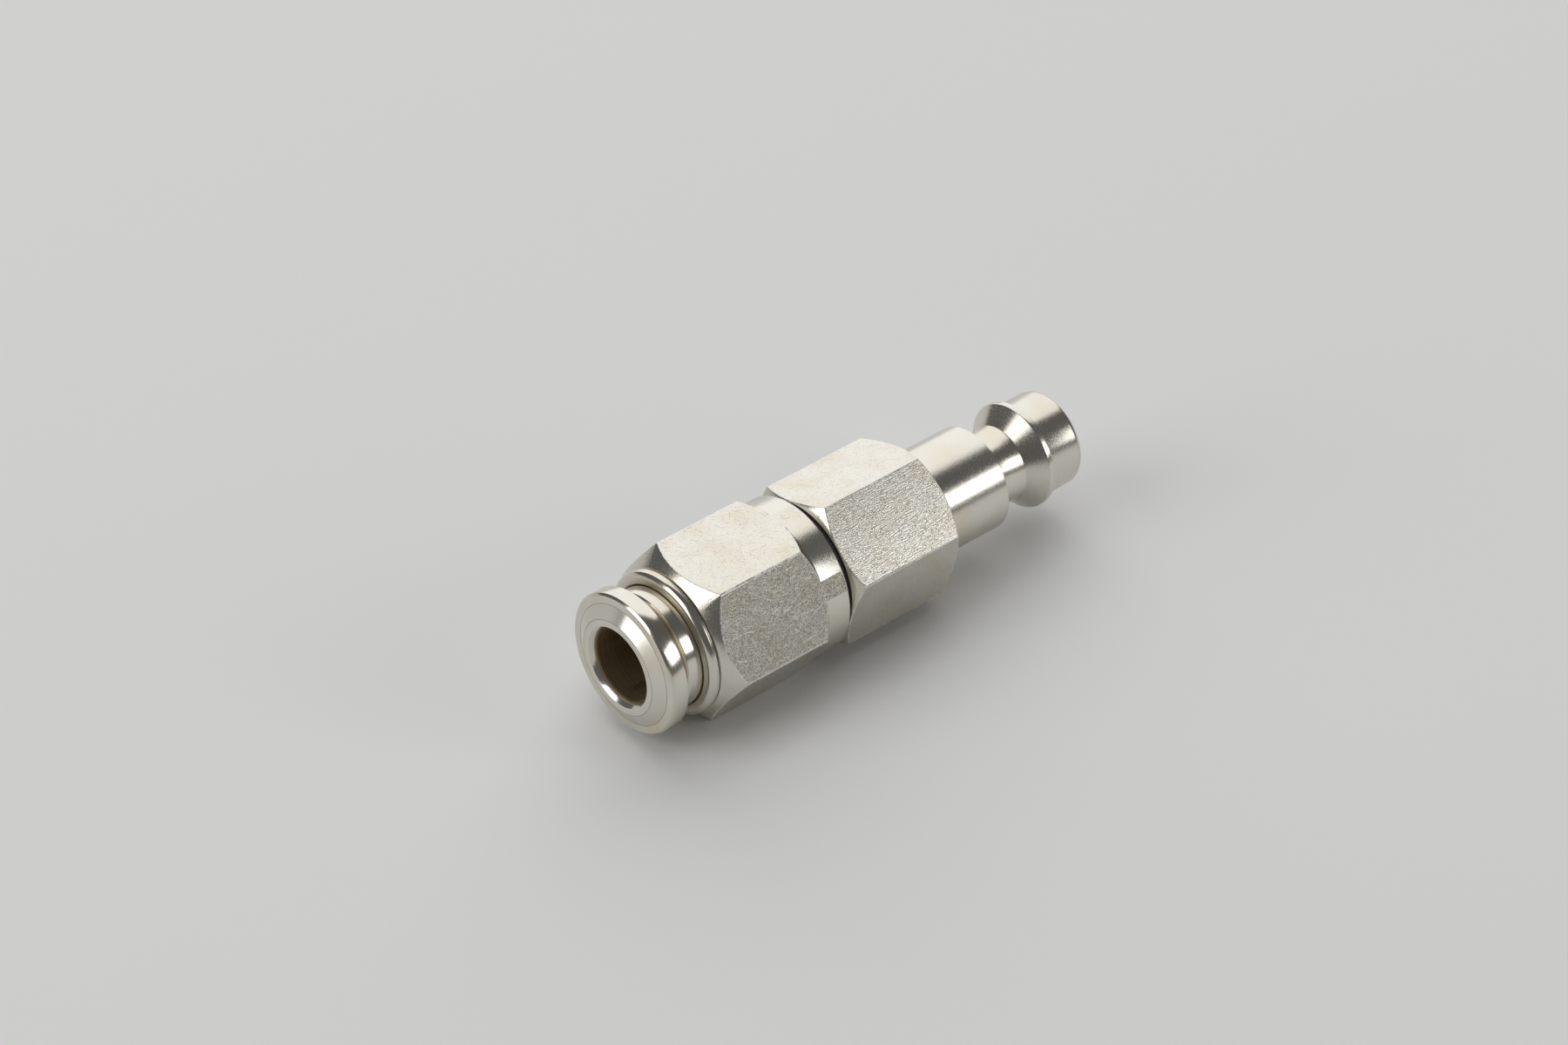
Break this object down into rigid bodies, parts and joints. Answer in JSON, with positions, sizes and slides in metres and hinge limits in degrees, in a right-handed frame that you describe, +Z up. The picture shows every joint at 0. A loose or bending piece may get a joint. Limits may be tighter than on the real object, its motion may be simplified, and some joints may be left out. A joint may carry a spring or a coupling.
{
  "type": "quick coupling plug",
  "caption": "Quick coupling plug with a push-in tube socket and a spring-loaded shut-off valve, screwed together from plated brass pieces.",
  "frame": {"origin": "on the surface the coupling lies on, under the middle of its length and under its axis", "axes": "+X along the coupling's axis, from the release ring towards the tip of the plug; +Z up"},
  "size_m": [0.0452, 0.015, 0.0134],
  "materials": {
    "nickel_plate": "bright nickel plate over turned brass, satin on the hexagon flats",
    "stainless_steel": "bright spring steel",
    "plain_brass": "turned, unplated",
    "black_rubber": "matt"
  },
  "bodies": {
    "coupling": {"fitting_body": "nickel_plate", "plug_body": "nickel_plate", "retaining_bush": "nickel_plate", "grip_ring": "stainless_steel", "grip_support": "plain_brass", "tube_seal": "black_rubber", "joint_seal": "black_rubber", "valve_guide": "plain_brass", "valve_spring": "stainless_steel"},
    "ring": {"release_ring": "nickel_plate"},
    "poppet": {"valve_poppet": "plain_brass", "poppet_seal": "black_rubber"}
  },
  "joints": [
    {"name": "ring_push", "type": "slide", "parent": "coupling", "child": "ring", "axis": [1, 0, 0], "range_m": [0, 0.0013], "stiffness_N_per_m": 300, "springref_m": -0.0005, "deforming": ["grip_ring"]},
    {"name": "valve_open", "type": "slide", "parent": "coupling", "child": "poppet", "axis": [-1, 0, 0], "range_m": [0, 0.002], "stiffness_N_per_m": 400, "springref_m": -0.002, "deforming": ["valve_spring"]}
  ]
}
